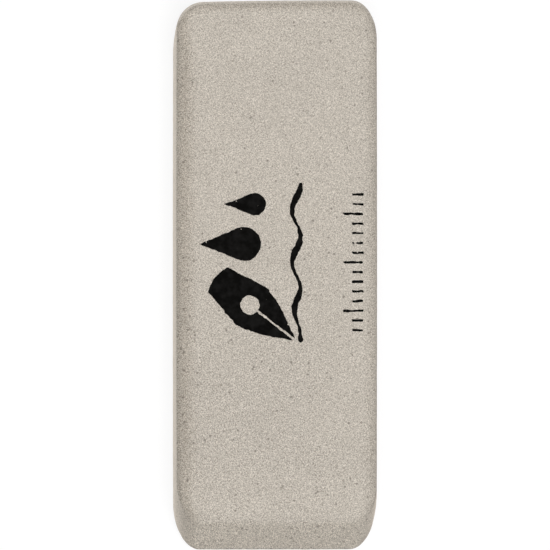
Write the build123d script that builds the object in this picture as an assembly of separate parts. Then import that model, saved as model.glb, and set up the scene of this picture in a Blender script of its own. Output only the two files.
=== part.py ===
from build123d import *
from math import cos, radians, sin, tan
import os

# Ink eraser: one moulded and tumbled block of abrasive rubber, lying on its broad face.
#
# X runs across the block, Y along it and Z up. The origin is under the middle of the block, on the
# surface it lies on. Both ends lean the same way, so the side view is a parallelogram: the end at
# +Y overhangs, and the end at -Y slopes out into an erasing wedge. The plan outline has straight
# long sides, ends that bow out a little, and corners that are longer along the block than across
# it. It is pushed up along the lean of the ends, and then the edges of both broad faces are rolled
# over all the way round.
#
# Sizes are in millimetres and angles in degrees.

# Size of the finished block, over its rounded edges.
LENGTH = 57.0
WIDTH = 21.15
THICKNESS = 9.0

# How far the two end faces lean from upright.
END_LEAN = 22.0
# How far the overhanging end is out of square with the long sides.
END_SKEW = 0.65
# How far the middle of an end stands out from the two points where its corners begin.
END_BOW = 0.11
# Radius rolled on every edge of the broad faces.
EDGE_RADIUS = 1.7

# Reach of a corner across the block and along it, at the overhanging and at the sloping end.
OVERHANG_CORNER = (2.75, 4.8)
SLOPE_CORNER = (2.75, 5.6)
# Length of a corner curve's two handles, as shares of its reach across and along the block.
HANDLE_ACROSS = 0.60
HANDLE_ALONG = 0.53


def corner(side_point, side_heading, end_point, end_heading, reach):
    """One corner: it leaves the long side along its heading and meets the end in line with it."""
    across, along = reach
    side_handle = side_point + side_heading * HANDLE_ALONG * along
    end_handle = end_point - end_heading * HANDLE_ACROSS * across
    return Bezier(side_point, side_handle, end_handle, end_point)


def plan_outline(half_width, half_length):
    """The level section of the sharp-edged block, as a face centred on the origin."""
    over_across, over_along = OVERHANG_CORNER
    slope_across, slope_along = SLOPE_CORNER

    # Where the long sides, and the two ends, hand over to the corners.
    side_high = half_length - over_along
    side_low = slope_along - half_length
    over_x = half_width - over_across
    slope_x = half_width - slope_across
    end_y = half_length - END_BOW
    skew_rise = tan(radians(END_SKEW)) * over_x

    right = Line((half_width, side_low), (half_width, side_high))
    left = Line((-half_width, side_low), (-half_width, side_high))
    overhang = ThreePointArc((-over_x, end_y - skew_rise), (0, half_length), (over_x, end_y + skew_rise))
    slope = ThreePointArc((-slope_x, -end_y), (0, -half_length), (slope_x, -end_y))

    corners = [
        corner(right @ 1, right % 1, overhang @ 1, overhang % 1 * -1, OVERHANG_CORNER),
        corner(left @ 1, left % 1, overhang @ 0, overhang % 0, OVERHANG_CORNER),
        corner(left @ 0, left % 0 * -1, slope @ 0, slope % 0, SLOPE_CORNER),
        corner(right @ 0, right % 0 * -1, slope @ 1, slope % 1 * -1, SLOPE_CORNER),
    ]
    return make_face(Curve() + [right, left, overhang, slope, *corners])


def build_block():
    """The whole eraser, centred over the origin and lying on Z = 0."""
    lean = radians(END_LEAN)
    # Rolling the edge of a leaning end over brings the tip of that end in by this much.
    tip_loss = EDGE_RADIUS * (tan(lean) + 1 / cos(lean) - 1)
    half_length = (LENGTH - THICKNESS * tan(lean)) / 2 + tip_loss

    section = plan_outline(WIDTH / 2, half_length)
    block = extrude(section, THICKNESS / cos(lean), dir=(0, sin(lean), cos(lean)))
    block = fillet(block.faces().filter_by(Axis.Z).edges(), EDGE_RADIUS)

    box = block.bounding_box()
    return Pos(-box.center().X, -box.center().Y, -box.min.Z) * block


eraser_block = build_block()
eraser_block.label = "eraser_block"

os.makedirs("parts", exist_ok=True)
export_step(eraser_block, "parts/eraser_block.step")
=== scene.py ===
"""Ink eraser: the dressed model, a white studio floor, soft light and the camera."""

import math

import bpy
import numpy as np
from mathutils import Matrix, Vector
from mathutils.bvhtree import BVHTree


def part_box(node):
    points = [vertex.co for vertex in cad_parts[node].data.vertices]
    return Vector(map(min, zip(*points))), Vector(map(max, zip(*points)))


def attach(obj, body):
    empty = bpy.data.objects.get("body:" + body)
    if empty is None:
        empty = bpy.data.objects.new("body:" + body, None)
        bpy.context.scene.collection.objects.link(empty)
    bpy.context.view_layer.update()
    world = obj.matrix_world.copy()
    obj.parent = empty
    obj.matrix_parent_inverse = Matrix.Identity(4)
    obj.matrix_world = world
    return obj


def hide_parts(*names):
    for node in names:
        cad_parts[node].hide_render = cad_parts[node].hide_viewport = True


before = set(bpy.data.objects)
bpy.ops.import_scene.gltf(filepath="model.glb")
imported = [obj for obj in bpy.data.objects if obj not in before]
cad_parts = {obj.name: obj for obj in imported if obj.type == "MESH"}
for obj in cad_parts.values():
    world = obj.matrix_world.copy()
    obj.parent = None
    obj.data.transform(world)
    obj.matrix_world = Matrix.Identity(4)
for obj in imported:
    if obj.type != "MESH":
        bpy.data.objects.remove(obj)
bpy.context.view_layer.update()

# Sizes are in millimetres where nothing else is said, and Blender's unit is the metre.
MM = 0.001

BLOCK = "eraser_block"
BODY = "root"

# The finished block's size comes from the frame.
block_low, block_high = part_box(BLOCK)
WIDTH = (block_high.x - block_low.x) / MM
LENGTH = (block_high.y - block_low.y) / MM
THICKNESS = (block_high.z - block_low.z) / MM

# Room left inside the frame's box: above, below and at the ends, and at the long sides.
SKIN = 0.03
SIDE_SKIN = 0.004

# Both ends lean the same way, towards +Y. The overhanging one is a little out of square.
END_LEAN = math.radians(22.0)
END_SKEW = math.radians(0.65)
# How far the middles of the ends and of the sides stand out in plan, and those of the walls in section.
END_BOW = 0.06
SIDE_BOW = 0.03
WALL_SWELL = 0.20
# How far below half height the left wall stands out most, as a share of half the thickness.
LEFT_DROP = 0.50
# Reach of each corner across the block and along it.
SLOPE_LEFT_CORNER = (2.8, 4.8)
SLOPE_RIGHT_CORNER = (2.69, 4.35)
OVERHANG_RIGHT_CORNER = (2.72, 3.85)
OVERHANG_LEFT_CORNER = (3.05, 3.1)
# Length of a corner curve's two handles, as shares of its reach across and along the block.
HANDLE_ACROSS = 0.53
HANDLE_ALONG = 0.50

# Height of the rolled edges: along the sides, and along the acute and the obtuse edges of the ends.
SIDE_ROLL = 1.8
ACUTE_ROLL = 1.4
OBTUSE_ROLL = 1.8
# How far across the rolled edges of the two long sides reach, as multiples of their height.
LEFT_REACH = 1.45
RIGHT_REACH = 1.2
# Most that an edge may be rolled, as a share of the radius of the corner that it goes round.
ROLL_SHARE = 0.85
# How far along the edge a change in its radius is spread, in points of the ring to each side.
ROLL_SPREAD = 13

# Size of a face of the block's mesh.
GRID = 0.215


# ---------------------------------------------------------------- noise and mesh helpers

# Number of random values along each side of the noise's table.
NOISE_TABLE = 64


def soft_noise(points, cell, seed):
    """Smooth noise from -1 to 1 at each point, with bumps about one cell wide."""
    table = np.random.default_rng(seed).uniform(-1.0, 1.0, (NOISE_TABLE,) * 3)
    scaled = points / cell
    base = np.floor(scaled).astype(int)
    blend = scaled - base
    blend = blend * blend * (3.0 - 2.0 * blend)
    total = np.zeros(len(points))
    for step_x in (0, 1):
        for step_y in (0, 1):
            for step_z in (0, 1):
                weight = np.ones(len(points))
                for axis, step in enumerate((step_x, step_y, step_z)):
                    weight *= blend[:, axis] if step else 1.0 - blend[:, axis]
                corner_index = (base + (step_x, step_y, step_z)) % NOISE_TABLE
                total += weight * table[tuple(corner_index.T)]
    return total


def mesh_object(name, points, faces, smooth=True):
    """A mesh object from points in millimetres, linked to the scene."""
    mesh = bpy.data.meshes.new(name)
    mesh.from_pydata((np.asarray(points) * MM).tolist(), [], faces)
    mesh.polygons.foreach_set("use_smooth", [smooth] * len(mesh.polygons))
    mesh.update()
    piece = bpy.data.objects.new(name, mesh)
    bpy.context.scene.collection.objects.link(piece)
    return piece


# ---------------------------------------------------------------- the block's form

# Number of points on each side, end and corner of the outline. It is even, so a corner can be halved.
CURVE_STEPS = 160
# Power by which the bend of a broad face's end dies out towards the other end.
BEND_FADE = 3


def bezier(start, start_handle, end_handle, end):
    """Points along one cubic curve, without its last one."""
    t = np.linspace(0.0, 1.0, CURVE_STEPS, endpoint=False)[:, None]
    rest = 1.0 - t
    return (
        rest**3 * np.array(start)
        + 3.0 * rest**2 * t * np.array(start_handle)
        + 3.0 * rest * t**2 * np.array(end_handle)
        + t**3 * np.array(end)
    )


def bowed(start, end, bow):
    """Points from start to end along a shallow parabola that stands out to the right by bow."""
    t = np.linspace(0.0, 1.0, CURVE_STEPS, endpoint=False)[:, None]
    start, end = np.array(start), np.array(end)
    along = end - start
    out = np.array([along[1], -along[0]]) / np.hypot(*along)
    return start + along * t + out * bow * 4.0 * t * (1.0 - t)


def heading(start, end, bow):
    """The direction in which such a run leaves its start. With -bow: the one it reaches its end in."""
    along = np.array(end) - np.array(start)
    out = np.array([along[1], -along[0]]) / np.hypot(*along)
    turned_out = along + out * bow * 4.0
    return turned_out / np.hypot(*turned_out)


def outline(half_width, half_length):
    """The level section at half height, anticlockwise, as eight runs of points.

    They are: sloping end, corner, right side, corner, overhanging end, corner, left side, corner.
    """
    # Where the ends and the sides hand over to the corners.
    side_x = half_width - SIDE_BOW
    end_y = half_length - END_BOW
    slope_left_x = SLOPE_LEFT_CORNER[0] - half_width
    slope_right_x = half_width - SLOPE_RIGHT_CORNER[0]
    over_right_x = half_width - OVERHANG_RIGHT_CORNER[0]
    over_left_x = OVERHANG_LEFT_CORNER[0] - half_width
    over_right_y = end_y + math.tan(END_SKEW) * over_right_x
    over_left_y = end_y + math.tan(END_SKEW) * over_left_x
    right_low = SLOPE_RIGHT_CORNER[1] - half_length
    right_high = half_length - OVERHANG_RIGHT_CORNER[1]
    left_low = SLOPE_LEFT_CORNER[1] - half_length
    left_high = half_length - OVERHANG_LEFT_CORNER[1]

    # Start, end and bow of the two ends and the two sides.
    straights = [
        ((slope_left_x, -end_y), (slope_right_x, -end_y), END_BOW),
        ((side_x, right_low), (side_x, right_high), SIDE_BOW),
        ((over_right_x, over_right_y), (over_left_x, over_left_y), END_BOW),
        ((-side_x, left_high), (-side_x, left_low), SIDE_BOW),
    ]
    # The corner that follows each of them.
    corners = (SLOPE_RIGHT_CORNER, OVERHANG_RIGHT_CORNER, OVERHANG_LEFT_CORNER, SLOPE_LEFT_CORNER)

    runs = []
    for number, ((start, end, bow), (across, along)) in enumerate(zip(straights, corners)):
        following = straights[(number + 1) % len(straights)]
        # A corner leaves an end across the block and meets a side along it, or the other way round.
        handles = (HANDLE_ACROSS * across, HANDLE_ALONG * along)
        leaving, arriving = handles if number % 2 == 0 else handles[::-1]
        first_handle = end + heading(start, end, -bow) * leaving
        second_handle = following[0] - heading(*following) * arriving
        runs.append(bowed(start, end, bow))
        runs.append(bezier(end, first_handle, second_handle, following[0]))
    return runs


def even_ring(half_width, half_length):
    """Evenly spaced outline points, their outward directions and the radius that the outline turns at.

    The numbers of steps across an end and along a side follow.
    """
    runs = outline(half_width, half_length)
    half = CURVE_STEPS // 2
    # The ring starts half way round the last corner, at -X, -Y.
    closed = np.vstack([runs[-1][half:], *runs[:-1], runs[-1][: half + 1]])
    direction = np.gradient(closed, axis=0)
    direction[0] = direction[-1] = closed[1] - closed[-2]
    direction /= np.hypot(*direction.T)[:, None]
    travelled = np.concatenate([[0.0], np.cumsum(np.hypot(*np.diff(closed, axis=0).T))])
    turning = np.gradient(np.unwrap(np.arctan2(direction[:, 1], direction[:, 0])), travelled)

    # From the middle of one corner to that of the next there are two runs' worth of points.
    middles = travelled[:: 2 * CURVE_STEPS]
    across = round((middles[1] - middles[0]) / GRID)
    along = round((middles[2] - middles[1]) / GRID)
    stretches = []
    for first, last, steps in zip(middles[:-1], middles[1:], (across, along) * 2):
        stretches.append(np.linspace(first, last, steps, endpoint=False))
    stops = np.concatenate(stretches)

    ring = np.stack([np.interp(stops, travelled, closed[:, k]) for k in (0, 1)], axis=1)
    ahead = np.stack([np.interp(stops, travelled, direction[:, k]) for k in (0, 1)], axis=1)
    outward = np.stack([ahead[:, 1], -ahead[:, 0]], axis=1)
    outward /= np.hypot(*outward.T)[:, None]
    # Where the outline hardly turns, its radius counts as the block's length.
    radius = 1.0 / np.maximum(np.interp(stops, travelled, turning), 1.0 / LENGTH)
    return ring, outward, radius, across, along


def eased(values, reach):
    """The lowest values within reach along the ring, with their steps smoothed out."""
    shifts = range(-reach, reach + 1)
    lowest = np.minimum.reduce([np.roll(values, shift) for shift in shifts])
    return np.mean([np.roll(lowest, shift) for shift in shifts], axis=0)


def section_rows(ring, outward, radius):
    """Rings of points from the top face's rim, over the edge and down the wall to the underside's rim."""
    middle = THICKNESS / 2
    half_height = middle - SKIN
    lean = np.array([[0.0, math.tan(END_LEAN)]])
    # 1 where the outline faces straight to a side, and 0 where it faces along the block.
    sideways = outward[:, 0] ** 2
    side_reach = np.where(outward[:, 0] < 0.0, LEFT_REACH, RIGHT_REACH)
    widening = 1.0 + (side_reach - 1.0) * sideways
    drop = LEFT_DROP * np.clip(-outward[:, :1], 0.0, 1.0) ** 2

    def wall_inset(height):
        """How far the swelling wall falls back at a height, from where it stands out most."""
        return WALL_SWELL * (height / half_height + drop) ** 2

    def edge(side):
        """Rings of one rolled edge, from the broad face to the wall. Side is 1 at the top and -1 below."""
        end_roll = np.where(outward[:, 1] * side > 0.0, ACUTE_ROLL, OBTUSE_ROLL)
        full_roll = end_roll + (SIDE_ROLL - end_roll) * sideways
        most = ROLL_SHARE * radius
        roll = eased(np.minimum(full_roll, most), ROLL_SPREAD)[:, None]
        roll_across = eased(np.minimum(full_roll * widening, most), ROLL_SPREAD)[:, None]
        centre_height = side * (half_height - roll)

        # How the wall drifts in plan as it rises, and its slope, square to the outline.
        inset_slope = 2.0 * WALL_SWELL * (centre_height / half_height + drop) / half_height
        drift = lean - outward * inset_slope
        slope = (outward * drift).sum(axis=1, keepdims=True) * side
        stretch = np.sqrt(1.0 + slope**2)

        # The roll's centre lies square to the wall, and the roll ends where it meets the wall.
        on_wall = ring + lean * centre_height - outward * wall_inset(centre_height)
        centre = on_wall - roll * (outward + side * slope * drift) / stretch
        wall_angle = -np.arctan(slope)
        steps = round(SIDE_ROLL * math.pi / 2 / GRID)
        rows = []
        for share in np.linspace(0.0, 1.0, steps + 1):
            angle = math.pi / 2 + (wall_angle - math.pi / 2) * share
            round_plan = centre + outward * roll * np.cos(angle)
            plan = on_wall + (round_plan - on_wall) * roll_across / roll
            height = centre_height + side * roll * np.sin(angle)
            rows.append(np.hstack([plan, height]))
        return rows

    top_edge = edge(1)
    bottom_edge = edge(-1)
    wall_top, wall_bottom = top_edge[-1], bottom_edge[-1]
    inset_top = wall_inset(wall_top[:, 2:])
    inset_bottom = wall_inset(wall_bottom[:, 2:])
    wall_steps = round((THICKNESS - 2 * SIDE_ROLL) / GRID)
    wall = []
    # A row lies on the straight line between the two edges, moved out by as much as the wall swells there.
    for share in np.linspace(0.0, 1.0, wall_steps + 1)[1:-1]:
        row = wall_top + (wall_bottom - wall_top) * share
        inset = inset_top + (inset_bottom - inset_top) * share
        row[:, :2] += outward * (inset - wall_inset(row[:, 2:]))
        wall.append(row)
    rows = top_edge + wall + bottom_edge[::-1]
    for row in rows:
        row[:, 2] += middle
    return rows


def cap_points(rim, across, along):
    """A grid of points that fills the closed rim of a broad face, in rows along Y."""
    low = rim[: across + 1]
    right = rim[across : across + along + 1]
    high = rim[across + along : 2 * across + along + 1][::-1]
    left = np.vstack([rim[2 * across + along :], rim[:1]])[::-1]
    u = np.linspace(0.0, 1.0, across + 1)[:, None, None]
    v = np.linspace(0.0, 1.0, along + 1)[None, :, None]

    def bend(edge, share):
        """How far an edge strays from the straight line between its two ends."""
        first, last = edge.reshape(-1, 3)[[0, -1]]
        return edge - first - (last - first) * share

    patch = (1 - v) * low[0] + v * high[0]
    patch = patch + u * ((1 - v) * (low[-1] - low[0]) + v * (high[-1] - high[0]))
    # The bends of the two ends die out fast, so that they don't crowd the points along the sides.
    patch = patch + (1 - v) ** BEND_FADE * bend(low[:, None], u) + v**BEND_FADE * bend(high[:, None], u)
    return patch + (1 - u) * bend(left[None], v) + u * bend(right[None], v)


def rim_places(across, along):
    """The (column, row) places of a cap's rim, in the ring's order."""
    places = [(i, 0) for i in range(across)]
    places += [(across, j) for j in range(along)]
    places += [(i, along) for i in range(across, 0, -1)]
    places += [(0, j) for j in range(along, 0, -1)]
    return places


def block_rows(half_length):
    """The block's rings of points, and the numbers of steps across an end and along a side."""
    ring, outward, radius, across, along = even_ring(WIDTH / 2 - SIDE_SKIN, half_length)
    return section_rows(ring, outward, radius), across, along


def build_block():
    """The dressed block as one closed mesh, with the grain's relief left out."""
    half_length = (LENGTH - THICKNESS * math.tan(END_LEAN)) / 2
    rows, across, along = block_rows(half_length)
    # The rolled ends fall short of the frame's length, so the outline is lengthened by what is missing.
    reached = np.ptp(np.vstack(rows)[:, 1])
    half_length += (LENGTH - reached) / 2 - SKIN
    rows, across, along = block_rows(half_length)

    top = cap_points(rows[0], across, along)
    bottom = cap_points(rows[-1], across, along)
    cap_size = (across + 1) * (along + 1)
    ring_size = len(rows[0])
    points = np.vstack([top.reshape(-1, 3), bottom.reshape(-1, 3), *rows[1:-1]])

    # The vertices of each level of the wall. The first and the last are the rims of the two caps.
    rim_index = np.array([i * (along + 1) + j for i, j in rim_places(across, along)])
    levels = [rim_index]
    for level in range(len(rows) - 2):
        levels.append(2 * cap_size + level * ring_size + np.arange(ring_size))
    levels.append(cap_size + rim_index)

    faces = []
    for i in range(across):
        for j in range(along):
            left = i * (along + 1) + j
            right = left + along + 1
            faces.append((left, right, right + 1, left + 1))
            # The underside's faces go round the other way.
            faces.append((cap_size + left, cap_size + left + 1, cap_size + right + 1, cap_size + right))
    for upper, lower in zip(levels[:-1], levels[1:]):
        upper_next, lower_next = np.roll(upper, -1), np.roll(lower, -1)
        faces += np.stack([upper, lower, lower_next, upper_next], axis=1).tolist()
    return mesh_object("eraser_body", points, faces)


# Relief pressed and worn into the rubber: each row is a bump's width and its depth.
RELIEF = ((3.2, 0.006), (1.1, 0.007), (0.5, 0.009))
# Small pits: the width of their noise's bumps, their depth, and how high the noise is where one starts.
PIT_CELL = 0.9
PIT_DEPTH = 0.035
PIT_START = 0.62
PIT_SEED = 11


def roughen(piece):
    """Presses the relief and a few small pits into the surface, always inwards."""
    mesh = piece.data
    count = len(mesh.vertices)
    points = np.zeros(count * 3)
    mesh.vertices.foreach_get("co", points)
    points = points.reshape(-1, 3)
    normals = np.zeros(count * 3, dtype=np.float32)
    mesh.vertex_normals.foreach_get("vector", normals)
    normals = normals.reshape(-1, 3)
    places = points / MM
    depth = np.zeros(count)
    for seed, (width, height) in enumerate(RELIEF):
        depth += height * (1.0 + soft_noise(places, width, seed))
    pits = soft_noise(places, PIT_CELL, PIT_SEED)
    depth += PIT_DEPTH * np.clip((pits - PIT_START) / (1.0 - PIT_START), 0.0, 1.0)
    points -= normals * (depth * MM)[:, None]
    mesh.vertices.foreach_set("co", points.ravel())
    mesh.update()


# ---------------------------------------------------------------- the ink

# Grid that the ink's shapes are cut from, its thickness above the rubber, and how far it sinks in.
INK_GRID = 0.10
INK_RISE = 0.012
INK_SINK = 0.05
# How far the ink's edge wanders, and the width of its waves.
EDGE_WANDER = 0.06
EDGE_WAVE = 0.35
# Pinholes: the width of their noise's bumps, how high it is where one starts, and how steeply it opens.
PINHOLE_CELL = 0.24
PINHOLE_START = 0.86
PINHOLE_SLOPE = 1.5

# The marks are placed by u, which runs along the block's Y, and v, which runs along its -X.
#
# The nib: its tip's place and its turn, then its length, its greatest width and its width at the back.
NIB_TIP = (-6.6, -1.9)
NIB_TURN = math.radians(52.0)
NIB_LENGTH, NIB_WIDTH, NIB_BACK_WIDTH = 10.4, 4.9, 3.3
# Where the nib is widest, and its hole's place and radius, as shares of its length.
NIB_SHOULDER = 0.52
NIB_HOLE = 0.56
NIB_HOLE_RADIUS = 0.095
# Half the width of its tip and of its slit, and how far its back has rounded off 1 mm from the middle.
NIB_TIP_HALF = 0.16
NIB_SLIT_HALF = 0.105
NIB_BACK_ROUND = 0.12
# How hollow its sides begin at the tip, and how much they then bulge.
NIB_HOLLOW = 1.15
NIB_BULGE = 0.6

# The pen's line. Its waves reach their full height at 1 / LINE_GROWTH of its length.
LINE_START, LINE_END = -6.6, 9.4
LINE_LEVEL = -2.5
LINE_WAVES = 3.0
LINE_HEIGHT = 0.85
LINE_GROWTH = 4.0
LINE_STEPS = 240
# Half the width of its stroke, and how much that swells and thins.
LINE_HALF = 0.25
LINE_SWELL = 0.09

# Each drop's centre, its radius, and the height of its point above the centre.
DROPS = (((3.3, 3.3), 1.75, 4.6), ((7.4, 2.2), 1.15, 3.1))

# The ruler's ticks. The middle one of each group is long.
SCALE_START, SCALE_END = -5.6, 8.4
SCALE_FOOT = -9.0
SCALE_TICKS = 15
TICK_GROUP = 5
TICK_WIDTH = 0.24
SHORT_TICK, LONG_TICK = 1.15, 2.1


def nib_field(u, v):
    """A fountain pen's nib, with its tip at the origin and its body along +u. Negative inside."""
    shoulder = NIB_SHOULDER * NIB_LENGTH
    hole_u = NIB_HOLE * NIB_LENGTH
    rising = np.clip(u / shoulder, 0.0, 1.0)
    rising = rising**NIB_HOLLOW * (1.0 + NIB_BULGE - NIB_BULGE * rising)
    falling = np.clip((u - shoulder) / (NIB_LENGTH - shoulder), 0.0, 1.0)
    falling = falling * falling * (3.0 - 2.0 * falling)
    half = NIB_TIP_HALF + (NIB_WIDTH / 2 - NIB_TIP_HALF) * rising - (NIB_WIDTH - NIB_BACK_WIDTH) / 2 * falling
    body = np.maximum(np.abs(v) - half, np.maximum(-u, u - NIB_LENGTH + NIB_BACK_ROUND * v * v))
    hole = NIB_HOLE_RADIUS * NIB_LENGTH - np.hypot(u - hole_u, v)
    slit = np.minimum(NIB_SLIT_HALF - np.abs(v), hole_u - u)
    return np.maximum(body, np.maximum(hole, slit))


def drop_field(u, v, radius, height):
    """An ink drop: round at the origin, with its point up at v = height. Negative inside."""
    ball = np.hypot(u, v) - radius
    sine = radius / height
    cosine = math.sqrt(1.0 - sine * sine)
    cone = np.maximum(np.abs(u) * cosine + (v - height) * sine, radius * sine - v)
    return np.minimum(ball, cone)


def stroke_field(u, v, path, half_widths):
    """A pen stroke along a path of points, with its half width at each. Negative inside."""
    nearest = np.full(u.shape, np.inf)
    for (path_u, path_v), half in zip(path, half_widths):
        nearest = np.minimum(nearest, np.hypot(u - path_u, v - path_v) - half)
    return nearest


def bar_field(u, v, centre, size):
    """An upright bar. Negative inside."""
    return np.maximum(np.abs(u - centre[0]) - size[0] / 2, np.abs(v - centre[1]) - size[1] / 2)


def turned(u, v, origin, angle):
    """The same places, seen from a frame at origin and turned by angle."""
    cosine, sine = math.cos(angle), math.sin(angle)
    from_u, from_v = u - origin[0], v - origin[1]
    return from_u * cosine + from_v * sine, from_v * cosine - from_u * sine


def pen_mark(u, v):
    """The nib and the wavy line that it has just drawn."""
    path, half_widths = [], []
    for t in np.linspace(0.0, 1.0, LINE_STEPS):
        swing = 2.0 * math.pi * LINE_WAVES * t
        along = LINE_START + (LINE_END - LINE_START) * t
        # The waves grow from the tip, and the stroke thickens where the pen comes down.
        rise = LINE_HEIGHT * (1.0 - math.cos(swing)) / 2 * min(1.0, LINE_GROWTH * t)
        path.append((along, LINE_LEVEL + rise))
        half_widths.append(LINE_HALF - LINE_SWELL * math.sin(swing))
    stroke = stroke_field(u, v, path, half_widths)
    return np.minimum(stroke, nib_field(*turned(u, v, NIB_TIP, NIB_TURN)))


def drop_mark(u, v):
    """The ink drops beside the nib."""
    drops = []
    for (centre_u, centre_v), radius, height in DROPS:
        drops.append(drop_field(u - centre_u, v - centre_v, radius, height))
    return np.minimum.reduce(drops)


def scale_mark(u, v):
    """A row of ruler ticks, in groups with a long one in the middle."""
    ticks = []
    for number in range(SCALE_TICKS):
        along = SCALE_START + (SCALE_END - SCALE_START) * number / (SCALE_TICKS - 1)
        height = LONG_TICK if number % TICK_GROUP == TICK_GROUP // 2 else SHORT_TICK
        ticks.append(bar_field(u, v, (along, SCALE_FOOT + height / 2), (TICK_WIDTH, height)))
    return np.minimum.reduce(ticks)


# Each mark: its name, the two corners of the area that it lies in as (u, v), its shape and its seed.
MARKS = (
    ("print_pen_line", (-7.6, -3.4), (10.4, 8.2), pen_mark, 21),
    ("print_drops", (1.2, 0.6), (9.0, 8.4), drop_mark, 31),
    ("print_scale", (-6.2, -9.4), (9.0, -6.5), scale_mark, 41),
)


def ragged(field, places, seed):
    """The field with an edge that wanders a little, and a few pinholes that the ink missed."""
    field = field + EDGE_WANDER * soft_noise(places, EDGE_WAVE, seed).reshape(field.shape)
    field = field + EDGE_WANDER / 2 * soft_noise(places, EDGE_WAVE / 2, seed + 1).reshape(field.shape)
    missed = soft_noise(places, PINHOLE_CELL, seed + 2).reshape(field.shape)
    return np.maximum(field, (missed - PINHOLE_START) * PINHOLE_SLOPE)


def ink_sheet(name, low, high, shape, seed, under):
    """A printed mark as a thin closed solid that follows the rubber's surface.

    The shape is a function of (u, v) that is negative inside it.
    """
    columns = round((high[0] - low[0]) / INK_GRID) + 1
    rows = round((high[1] - low[1]) / INK_GRID) + 1
    u, v = np.meshgrid(
        np.linspace(low[0], high[0], columns), np.linspace(low[1], high[1], rows), indexing="ij"
    )
    # Each mark takes its own slice of the noise.
    places = np.stack([u.ravel(), v.ravel(), np.full(u.size, float(seed))], axis=1)
    field = ragged(shape(u, v), places, seed)

    points, index = [], {}

    def vertex(a, b):
        """The vertex on grid point a, or where the mark's edge crosses from a to b."""
        key = (a, b) if a <= b else (b, a)
        if key not in index:
            share = 0.0 if a == b else field[a] / (field[a] - field[b])
            index[key] = len(points)
            points.append((u[a] + (u[b] - u[a]) * share, v[a] + (v[b] - v[a]) * share))
        return index[key]

    # Each square of the grid is two triangles, and each keeps the part of it that is inside.
    faces = []
    for i in range(columns - 1):
        for j in range(rows - 1):
            corners = ((i, j), (i + 1, j), (i + 1, j + 1), (i, j + 1))
            inside = [field[corner] < 0.0 for corner in corners]
            if not any(inside):
                continue
            for trio in ((0, 1, 2), (0, 2, 3)):
                loop = []
                for place, following in zip(trio, trio[1:] + trio[:1]):
                    if inside[place]:
                        loop.append(vertex(corners[place], corners[place]))
                    if inside[place] != inside[following]:
                        loop.append(vertex(corners[place], corners[following]))
                if len(loop) >= 3:
                    faces.append(loop)

    return ink_solid(name, np.array(points), faces, under)


def ink_solid(name, flat, faces, under):
    """Closes a flat mark into a thin solid on the surface under it."""
    top, bottom = [], []
    for u, v in flat:
        start = Vector((-v * MM, u * MM, 2 * THICKNESS * MM))
        height = under.ray_cast(start, Vector((0.0, 0.0, -1.0)))[0].z / MM
        top.append((-v, u, height + INK_RISE))
        bottom.append((-v, u, height - INK_SINK))
    count = len(flat)
    solid = []
    # A turn from (u, v) to (-v, u) keeps the faces' order facing up.
    for loop in faces:
        solid.append(tuple(loop))
        solid.append(tuple(count + k for k in reversed(loop)))
    # An edge that no other face runs back along is on the mark's rim, where a wall closes it.
    edges = dict.fromkeys(edge for loop in faces for edge in zip(loop, loop[1:] + loop[:1]))
    for a, b in edges:
        if (b, a) not in edges:
            solid.append((b, a, count + a, count + b))
    return mesh_object(name, top + bottom, solid, smooth=False)


# ---------------------------------------------------------------- materials

# Colours are linear red, green and blue.
RUBBER_COLOUR = (0.533, 0.485, 0.423)
RUBBER_DARK = (0.313, 0.282, 0.242)
RUBBER_PALE = (0.768, 0.707, 0.628)
SPECK_COLOUR = (0.20, 0.175, 0.15)
# Painted highlight: the pale rim on the left wall and round the overhang's rim.
PAINTED_HIGHLIGHT_COLOUR = (0.75, 0.69, 0.61)
# Painted shade on the right wall.
SHADED_WALL_COLOUR = (0.40, 0.345, 0.29)
# Painted shade: the thin dark line along the right wall, and the dark foot.
PAINTED_SHADE_COLOUR = (0.19, 0.165, 0.145)
SHEEN_TINT = (1.0, 0.88, 0.74)
# Tints that multiply the rubber's colour.
# Painted shade on the rolled rims and along the wedge's foot.
RIM_SHADE_TINT = (0.875, 0.86, 0.838)
# A little darker short of the wedge.
DARKER_SHORT_OF_WEDGE_TINT = (0.955, 0.955, 0.955)
WEDGE_TINT = (1.007, 1.0, 0.982)
CLOUD_TINTS = ((0.975, 0.975, 0.975), (1.015, 1.015, 1.015))

# Ramps over a noise, as positions with their colours or tints.
SAND_RAMP = ((0.28, RUBBER_DARK), (0.5, RUBBER_COLOUR), (0.72, RUBBER_PALE))
LUMP_RAMP = ((0.30, (0.972, 0.968, 0.964)), (0.5, (1.0, 1.0, 1.0)), (0.72, (1.008, 1.008, 1.008)))
COARSE_RAMP = ((0.30, (0.82, 0.82, 0.82)), (0.5, (1.0, 1.0, 1.0)), (0.70, (1.12, 1.12, 1.12)))
INK_RAMP = ((0.40, (0.0035, 0.0033, 0.0030)), (0.72, (0.011, 0.0105, 0.010)), (0.85, (0.035, 0.030, 0.026)))

# Noises: waves a metre, detail and roughness.
SAND_NOISE = (9200.0, 1.0, 0.5)
LUMP_NOISE = (2300.0, 2.0, 0.6)
CLOUD_NOISE = (260.0, 3.0, 0.5)
GROUP_NOISE = (900.0, 1.0, 0.5)
RELIEF_NOISE = (2600.0, 4.0, 0.65)
FILM_NOISE = (1500.0, 3.0, 0.5)
FILM_RELIEF_NOISE = (2600.0, 3.0, 0.5)
# The values between which most of a noise lies, and those between which the clouds come and go.
NOISE_RANGE = (0.3, 0.7)
CLOUD_RANGE = (0.35, 0.65)
# The grain is drawn out a little from top to bottom, as the press leaves it. Its noise is turned, so
# that the flat faces don't lie along the noise's own grid.
GRAIN_STRETCH = (1.0, 1.0, 0.5)
GRAIN_TURN = (0.6, 0.4, 0.9)

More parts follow.
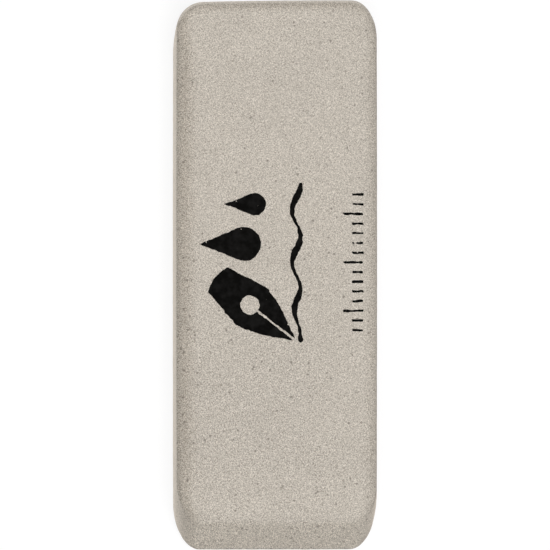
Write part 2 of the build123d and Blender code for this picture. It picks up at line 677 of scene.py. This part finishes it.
# Dark grains of grit: cells a metre, a grain's outer and inner radius as shares of a cell, and how
# strongly its colour shows.
SPECK_SCALE = 1400.0
SPECK_RADII = (0.22, 0.12)
SPECK_SHARE = 0.75
# They show where the noise of their groups is high. Added to it: so much a metre towards the wedge, and
# so much on the worn rims that take painted shade.
SPECK_GROUPS = (0.53, 0.60)
GROUPS_ALONG = 2.0
GROUPS_ON_RIMS = 0.10

# Strength and distance of the bump on the rubber and on the ink.
RUBBER_BUMP = (0.55, 0.06)
INK_BUMP = (0.4, 0.03)
# Roughness where the noise is low and where it is high.
RUBBER_ROUGHNESS = (0.95, 0.82)
INK_ROUGHNESS = (0.8, 0.9)
IOR = 1.45

# Regions of the surface. Each row has the name of a surface value, as surface_values lists them, the
# value where the region fades out and the value where it is full.
USED = (("along", 7.0 * MM, -9.0 * MM), ("across", 9.0 * MM, 3.0 * MM))
SHORT_OF_WEDGE = (("along", -25.0 * MM, -19.0 * MM),)
# Rolled rims that take painted shade, and there coarser grain and more grit.
SHADED_WORN_RIMS = (("rim", 0.10, 0.50), ("y", -0.9, -0.5))
# The wedge's foot, which takes painted shade too.
WEDGE_FOOT = (("y", -0.945, -0.99),)
WEDGE = (("y", -0.55, -0.85),)
# Where the painted highlight lies: the left wall and the overhang's rim.
LIT_LEFT_WALL = (("level", 0.34, 0.08), ("x", -0.3, -0.6), ("y", -0.85, -0.35))
LIT_FAR_RIM = (("level", 0.67, 0.47), ("x", 0.75, 0.35), ("y", 0.05, 0.35))
# Where painted shade lies: the right wall and a thin line along its upper edge.
SHADED_RIGHT_WALL = (("level", 0.26, 0.14), ("x", 0.65, 0.9), ("y", -0.35, -0.10))
SHADE_LINE = (("x", 0.8, 0.97), ("rise", 0.36, 0.20), ("rise", 0.08, 0.14))
# Where painted shade lies: along the foot, and up the corner between the wedge and the right wall.
SHADED_FOOT = (("height", 2.2 * MM, 1.5 * MM),)
SHADED_FRONT_CORNER = (("turn", -0.05, -0.25), ("x", 0.4, 0.8), ("height", 4.4 * MM, 2.0 * MM))
NOT_BELOW = (("z", -0.9, -0.4),)
# How strongly each kind of wear, painted shade and painted highlight shows where its region is full.
USED_COARSE = 0.4
RIM_COARSE = 0.7
HIGHLIGHT_SHARE = 0.85
WALL_SHADE_SHARE = 0.85
SHADE_LINE_SHARE = 0.8
FOOT_SHADE_SHARE = 0.4
CORNER_SHADE_SHARE = 0.55
# How much painted shade and wear the rolled rims take, against the left one: on the overhang and the right.
OVERHANG_RIM_SHARE = 0.8
RIGHT_RIM_SHARE = 0.4


class Nodes:
    """A short way to write a node tree of shaders."""

    def __init__(self, tree):
        self.tree = tree
        self.tree.nodes.clear()

    def add(self, kind, inputs=None, **settings):
        """One node, with values for its input sockets by name or place, and its own settings."""
        node = self.tree.nodes.new(kind)
        for key, value in settings.items():
            setattr(node, key, value)
        for name, value in (inputs or {}).items():
            self.put(value, node.inputs[name])
        return node

    def put(self, value, socket):
        """Gives an input socket its value: a number, a colour or another node's output."""
        if isinstance(value, bpy.types.NodeSocket):
            self.tree.links.new(value, socket)
        elif isinstance(value, tuple) and socket.type == "RGBA":
            socket.default_value = (*value, 1.0)
        else:
            socket.default_value = value

    def noise(self, where, scale, detail, roughness):
        """A noise texture's value; scale is in waves a metre."""
        inputs = {"Vector": where, "Scale": scale, "Detail": detail, "Roughness": roughness}
        return self.add("ShaderNodeTexNoise", inputs).outputs["Fac"]

    def ramp(self, value, stops):
        """A colour ramp through (position, colour) stops."""
        node = self.add("ShaderNodeValToRGB", {"Fac": value})
        elements = node.color_ramp.elements
        while len(elements) < len(stops):
            elements.new(0.5)
        for element, (position, colour) in zip(elements, stops):
            element.position = position
            element.color = (*colour, 1.0)
        return node.outputs["Color"]

    def span(self, value, first, last, to_first=0.0, to_last=1.0):
        """The value mapped so that first becomes to_first and last becomes to_last, and kept between."""
        inputs = {"Value": value, "From Min": first, "From Max": last, "To Min": to_first, "To Max": to_last}
        return self.add("ShaderNodeMapRange", inputs).outputs["Result"]

    def mix(self, share, first, second, kind="MIX"):
        """Two colours mixed by a share."""
        node = self.add("ShaderNodeMix", data_type="RGBA", blend_type=kind)
        # The colour mixer's sockets share their names with those for numbers, so they go by place.
        for place, value in ((0, share), (6, first), (7, second)):
            self.put(value, node.inputs[place])
        return node.outputs[2]

    def tinted(self, colour, tint, share=1.0):
        """The colour multiplied by a tint, over a share of it."""
        return self.mix(share, colour, tint, "MULTIPLY")

    def math(self, operation, first, *others):
        """One operation on two or more values in turn."""
        for other in others:
            first = self.add("ShaderNodeMath", {0: first, 1: other}, operation=operation).outputs[0]
        return first

    def product(self, *values):
        """The values multiplied together."""
        return self.math("MULTIPLY", *values)

    def largest(self, *values):
        """The largest of the values."""
        return self.math("MAXIMUM", *values)

    def parts(self, vector):
        """The X, Y and Z of a vector."""
        return self.add("ShaderNodeSeparateXYZ", {"Vector": vector}).outputs

    def bump(self, relief, strength, distance):
        """A surface direction that follows a relief; distance is in millimetres."""
        inputs = {"Strength": strength, "Distance": distance * MM, "Height": relief}
        return self.add("ShaderNodeBump", inputs).outputs["Normal"]

    def finish(self, shader, kind="ShaderNodeOutputMaterial"):
        """Sends the shader to the output."""
        self.add(kind, {"Surface": shader})


def new_material(name):
    """A material with an empty node tree, and that tree's Nodes."""
    material = bpy.data.materials.new(name)
    material.use_nodes = True
    return material, Nodes(material.node_tree)


def surface_values(nodes, inside, normal):
    """What the regions go by, by name, from a place on the block and the surface's direction there."""
    across, along, height = nodes.parts(inside)
    x, y, z = nodes.parts(normal)
    overhang_rim = nodes.product(y, OVERHANG_RIM_SHARE)
    right_rim = nodes.product(x, RIGHT_RIM_SHARE)
    return {
        # The place, in metres.
        "across": across,
        "along": along,
        "height": height,
        # The direction.
        "x": x,
        "y": y,
        "z": z,
        # How much it faces up or down.
        "level": nodes.add("ShaderNodeMath", {0: z}, operation="ABSOLUTE").outputs[0],
        # How much it faces up from the wall. It is about 0 on every wall, however that leans.
        "rise": nodes.math("ADD", z, nodes.product(y, math.tan(END_LEAN))),
        # Furthest below 0 half way round the wedge's right corner, and round the one across from it.
        "turn": nodes.product(x, y),
        # How much it faces a rim that takes painted shade and wear: most on the left, less on the overhang
        # and the right.
        "rim": nodes.largest(nodes.product(x, -1.0), overhang_rim, right_rim),
    }


def region(nodes, values, rows):
    """How much a point is in a region: 1 where every row is full, and 0 where one has faded out."""
    return nodes.product(*[nodes.span(values[name], faded, full) for name, faded, full in rows])


def sandy_colour(nodes, values, where, sand, coarse, rim_shade_and_wear):
    """The rubber's own colour: sandy mottle, faint lumps and clouds, and a few dark grains of grit."""
    colour = nodes.ramp(sand, SAND_RAMP)
    lumps = nodes.noise(where, *LUMP_NOISE)
    colour = nodes.tinted(colour, nodes.ramp(lumps, LUMP_RAMP))
    clouds = nodes.span(nodes.noise(where, *CLOUD_NOISE), *CLOUD_RANGE)
    colour = nodes.tinted(colour, nodes.mix(clouds, *CLOUD_TINTS))

    # A little darker short of the wedge.
    used = region(nodes, values, USED)
    darker_short_of_wedge = nodes.product(used, region(nodes, values, SHORT_OF_WEDGE))
    colour = nodes.tinted(colour, DARKER_SHORT_OF_WEDGE_TINT, darker_short_of_wedge)
    # Use has made it rougher towards the wedge and on the rims.
    rougher = nodes.largest(nodes.product(used, USED_COARSE), nodes.product(rim_shade_and_wear, RIM_COARSE))
    colour = nodes.tinted(colour, coarse, rougher)

    # Dark grains stand in groups, and more of them show towards the wedge and on the rims.
    cells = nodes.add("ShaderNodeTexVoronoi", {"Vector": where, "Scale": SPECK_SCALE})
    grain = nodes.span(cells.outputs["Distance"], *SPECK_RADII)
    towards_wedge = nodes.product(values["along"], GROUPS_ALONG)
    group = nodes.math("SUBTRACT", nodes.noise(where, *GROUP_NOISE), towards_wedge)
    group = nodes.math("ADD", group, nodes.product(rim_shade_and_wear, GROUPS_ON_RIMS))
    specks = nodes.product(grain, nodes.span(group, *SPECK_GROUPS), SPECK_SHARE)
    return nodes.mix(specks, colour, SPECK_COLOUR)


def wedge_grain_and_painted_light(nodes, values, colour, coarse, rim_shade_and_wear):
    """The colour with the wedge's coarser grain, and with painted shade and a painted highlight on the edges
    and walls.
    """
    # The wedge's face is cut through the grit, so its grain is coarser.
    wedge = region(nodes, values, WEDGE)
    colour = nodes.tinted(nodes.tinted(colour, coarse, wedge), WEDGE_TINT, wedge)
    # Painted shade on the rolled rims and along the wedge's foot.
    colour = nodes.tinted(colour, RIM_SHADE_TINT, rim_shade_and_wear)

    # A pale painted highlight on the left wall and round the overhang's rim.
    painted_highlight = nodes.largest(region(nodes, values, LIT_LEFT_WALL), region(nodes, values, LIT_FAR_RIM))
    highlight_share = nodes.product(painted_highlight, HIGHLIGHT_SHARE)
    colour = nodes.mix(highlight_share, colour, nodes.tinted(coarse, PAINTED_HIGHLIGHT_COLOUR))

    # Painted shade: the right wall darker, with a thin dark line along its upper edge.
    right_wall_shade = nodes.product(region(nodes, values, SHADED_RIGHT_WALL), WALL_SHADE_SHARE)
    colour = nodes.mix(right_wall_shade, colour, nodes.tinted(coarse, SHADED_WALL_COLOUR))
    shade_line = nodes.product(region(nodes, values, SHADE_LINE), SHADE_LINE_SHARE)
    colour = nodes.mix(shade_line, colour, PAINTED_SHADE_COLOUR)

    # Painted shade along the foot. It reaches higher up the corner between the wedge and the right wall.
    foot_shade = nodes.product(region(nodes, values, SHADED_FOOT), FOOT_SHADE_SHARE)
    corner_shade = nodes.product(region(nodes, values, SHADED_FRONT_CORNER), CORNER_SHADE_SHARE)
    foot_shade = nodes.product(nodes.largest(foot_shade, corner_shade), region(nodes, values, NOT_BELOW))
    return nodes.mix(foot_shade, colour, PAINTED_SHADE_COLOUR)


def rubber_material():
    """Dry rubber full of fine grit."""
    material, nodes = new_material("eraser_rubber_skin")
    surface_point = nodes.add("ShaderNodeTexCoord").outputs
    inside, normal = surface_point["Object"], surface_point["Normal"]
    grain_space = {"Vector": inside, "Scale": GRAIN_STRETCH, "Rotation": GRAIN_TURN}
    where = nodes.add("ShaderNodeMapping", grain_space).outputs["Vector"]
    values = surface_values(nodes, inside, normal)
    sand = nodes.noise(where, *SAND_NOISE)
    coarse = nodes.ramp(sand, COARSE_RAMP)
    # The rims that take painted shade, coarser grain and more grit, and the wedge's foot.
    rim_shade_and_wear = nodes.largest(region(nodes, values, SHADED_WORN_RIMS), region(nodes, values, WEDGE_FOOT))
    colour = sandy_colour(nodes, values, where, sand, coarse, rim_shade_and_wear)
    colour = wedge_grain_and_painted_light(nodes, values, colour, coarse, rim_shade_and_wear)
    shader = nodes.add("ShaderNodeBsdfPrincipled", {
        "Base Color": colour,
        "Roughness": nodes.span(sand, *NOISE_RANGE, *RUBBER_ROUGHNESS),
        "IOR": IOR,
        "Specular IOR Level": 0.35,
        "Sheen Weight": 0.4,
        "Sheen Roughness": 0.25,
        "Sheen Tint": SHEEN_TINT,
        "Normal": nodes.bump(nodes.noise(where, *RELIEF_NOISE), *RUBBER_BUMP),
    })
    nodes.finish(shader.outputs[0])
    return material


def ink_material():
    """Thin matt black ink, a little uneven over the grain under it."""
    material, nodes = new_material("printing_ink_film")
    where = nodes.add("ShaderNodeTexCoord").outputs["Object"]
    film = nodes.noise(where, *FILM_NOISE)
    shader = nodes.add("ShaderNodeBsdfPrincipled", {
        "Base Color": nodes.ramp(film, INK_RAMP),
        "Roughness": nodes.span(film, *NOISE_RANGE, *INK_ROUGHNESS),
        "IOR": IOR,
        "Specular IOR Level": 0.02,
        "Normal": nodes.bump(nodes.noise(where, *FILM_RELIEF_NOISE), *INK_BUMP),
    })
    nodes.finish(shader.outputs[0])
    return material


# ---------------------------------------------------------------- the object

body = build_block()
roughen(body)
body.data.materials.append(rubber_material())
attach(body, BODY)
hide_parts(BLOCK)

bpy.context.view_layer.update()
surface = BVHTree.FromObject(body, bpy.context.evaluated_depsgraph_get())
ink = ink_material()
for name, low, high, shape, seed in MARKS:
    mark = ink_sheet(name, low, high, shape, seed, surface)
    mark.data.materials.append(ink)
    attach(mark, BODY)


# ---------------------------------------------------------------- floor, light and camera

# Sizes and distances in the studio are in metres.
FLOOR_SIZE = 4.0
# The floor's own colour, and what the camera and reflections see: a little of its shading, and a glow.
FLOOR_COLOUR = (0.95, 0.95, 0.95)
SEEN_FLOOR_COLOUR = (0.18, 0.18, 0.18)
SEEN_FLOOR_GLOW = 0.84
# The world's colour, and the strength of its light on the object.
WORLD_COLOUR = (0.8, 0.8, 0.8)
AMBIENT = 0.12
# Each light's direction from the object and its power in watts, and the distance and size of both.
LIGHTS = {"softbox": ((0.08, -0.13, 1.0), 6.08), "far_light": ((-0.4, 0.9, 0.3), 1.0)}
LIGHT_DISTANCE = 0.8
LIGHT_SIZE = 0.48

# The lens and the sensor are in millimetres.
LENS = 600.0
SENSOR = 36.0
# The camera stands this far over to -X of straight above.
CAMERA_LEAN = math.radians(1.5)
# The block's length as a share of the picture's height.
FILL = 1.0004
# The nearest and the furthest that the camera sees, in metres.
NEAREST, FURTHEST = 0.01, 10.0


def seen_rays(nodes):
    """1 for rays from the camera, from reflections and from clear things, and 0 for other light."""
    path = nodes.add("ShaderNodeLightPath").outputs
    return nodes.largest(path["Is Camera Ray"], path["Is Glossy Ray"], path["Is Transmission Ray"])


def build_floor():
    """A wide white floor that still takes the object's shadow."""
    half = FLOOR_SIZE / 2 / MM
    corners = [(-half, -half, 0.0), (half, -half, 0.0), (half, half, 0.0), (-half, half, 0.0)]
    floor = mesh_object("studio_floor", corners, [(0, 1, 2, 3)], smooth=False)
    material, nodes = new_material("studio_floor_white")
    plain = nodes.add("ShaderNodeBsdfDiffuse", {"Color": FLOOR_COLOUR})
    shaded = nodes.add("ShaderNodeBsdfDiffuse", {"Color": SEEN_FLOOR_COLOUR})
    glow = nodes.add("ShaderNodeEmission", {"Strength": SEEN_FLOOR_GLOW})
    seen = nodes.add("ShaderNodeAddShader", {0: shaded.outputs[0], 1: glow.outputs[0]})
    both = {0: seen_rays(nodes), 1: plain.outputs[0], 2: seen.outputs[0]}
    nodes.finish(nodes.add("ShaderNodeMixShader", both).outputs[0])
    floor.data.materials.append(material)


def build_world():
    """A pale world behind the floor, with a little light of its own."""
    world = bpy.data.worlds.new("studio_world")
    world.use_nodes = True
    nodes = Nodes(world.node_tree)
    strength = nodes.span(seen_rays(nodes), 0.0, 1.0, AMBIENT, 1.0)
    glow = nodes.add("ShaderNodeBackground", {"Color": WORLD_COLOUR, "Strength": strength})
    nodes.finish(glow.outputs[0], "ShaderNodeOutputWorld")
    bpy.context.scene.world = world


def area_light(name, direction, power):
    """A square soft light that faces the object from a direction."""
    lamp = bpy.data.lights.new(name, "AREA")
    lamp.shape = "SQUARE"
    lamp.size = LIGHT_SIZE
    lamp.energy = power
    light = bpy.data.objects.new(name, lamp)
    towards = Vector(direction).normalized()
    light.location = towards * LIGHT_DISTANCE
    light.rotation_mode = "QUATERNION"
    light.rotation_quaternion = towards.to_track_quat("Z", "Y")
    bpy.context.scene.collection.objects.link(light)


def build_camera():
    """A long lens almost straight above the block, with +Y up in the picture."""
    camera_data = bpy.data.cameras.new("camera")
    camera_data.lens = LENS
    camera_data.sensor_width = SENSOR
    camera_data.clip_start = NEAREST
    camera_data.clip_end = FURTHEST
    camera = bpy.data.objects.new("camera", camera_data)
    back = Vector((-math.sin(CAMERA_LEAN), 0.0, math.cos(CAMERA_LEAN)))
    # The block's two tips stand at different heights, so each has its own scale in the picture.
    tip_height = THICKNESS * MM - ACUTE_ROLL * MM
    foot_height = ACUTE_ROLL * MM
    fill_distance = LENGTH * MM * LENS / SENSOR / FILL
    distance = fill_distance + (tip_height + foot_height) / 2
    scale_gap = (tip_height - foot_height) / (2 * fill_distance)
    target = Vector((0.0, LENGTH * MM / 2 * scale_gap, THICKNESS * MM / 2))
    camera.location = target + back * (distance - THICKNESS * MM / 2)
    right = Vector((math.cos(CAMERA_LEAN), 0.0, math.sin(CAMERA_LEAN)))
    up = back.cross(right)
    camera.rotation_mode = "QUATERNION"
    camera.rotation_quaternion = Matrix((right, up, back)).transposed().to_quaternion()
    bpy.context.scene.collection.objects.link(camera)
    bpy.context.scene.camera = camera


build_floor()
build_world()
for name, (direction, power) in LIGHTS.items():
    area_light(name, direction, power)
build_camera()

bpy.context.scene.view_settings.view_transform = "Standard"
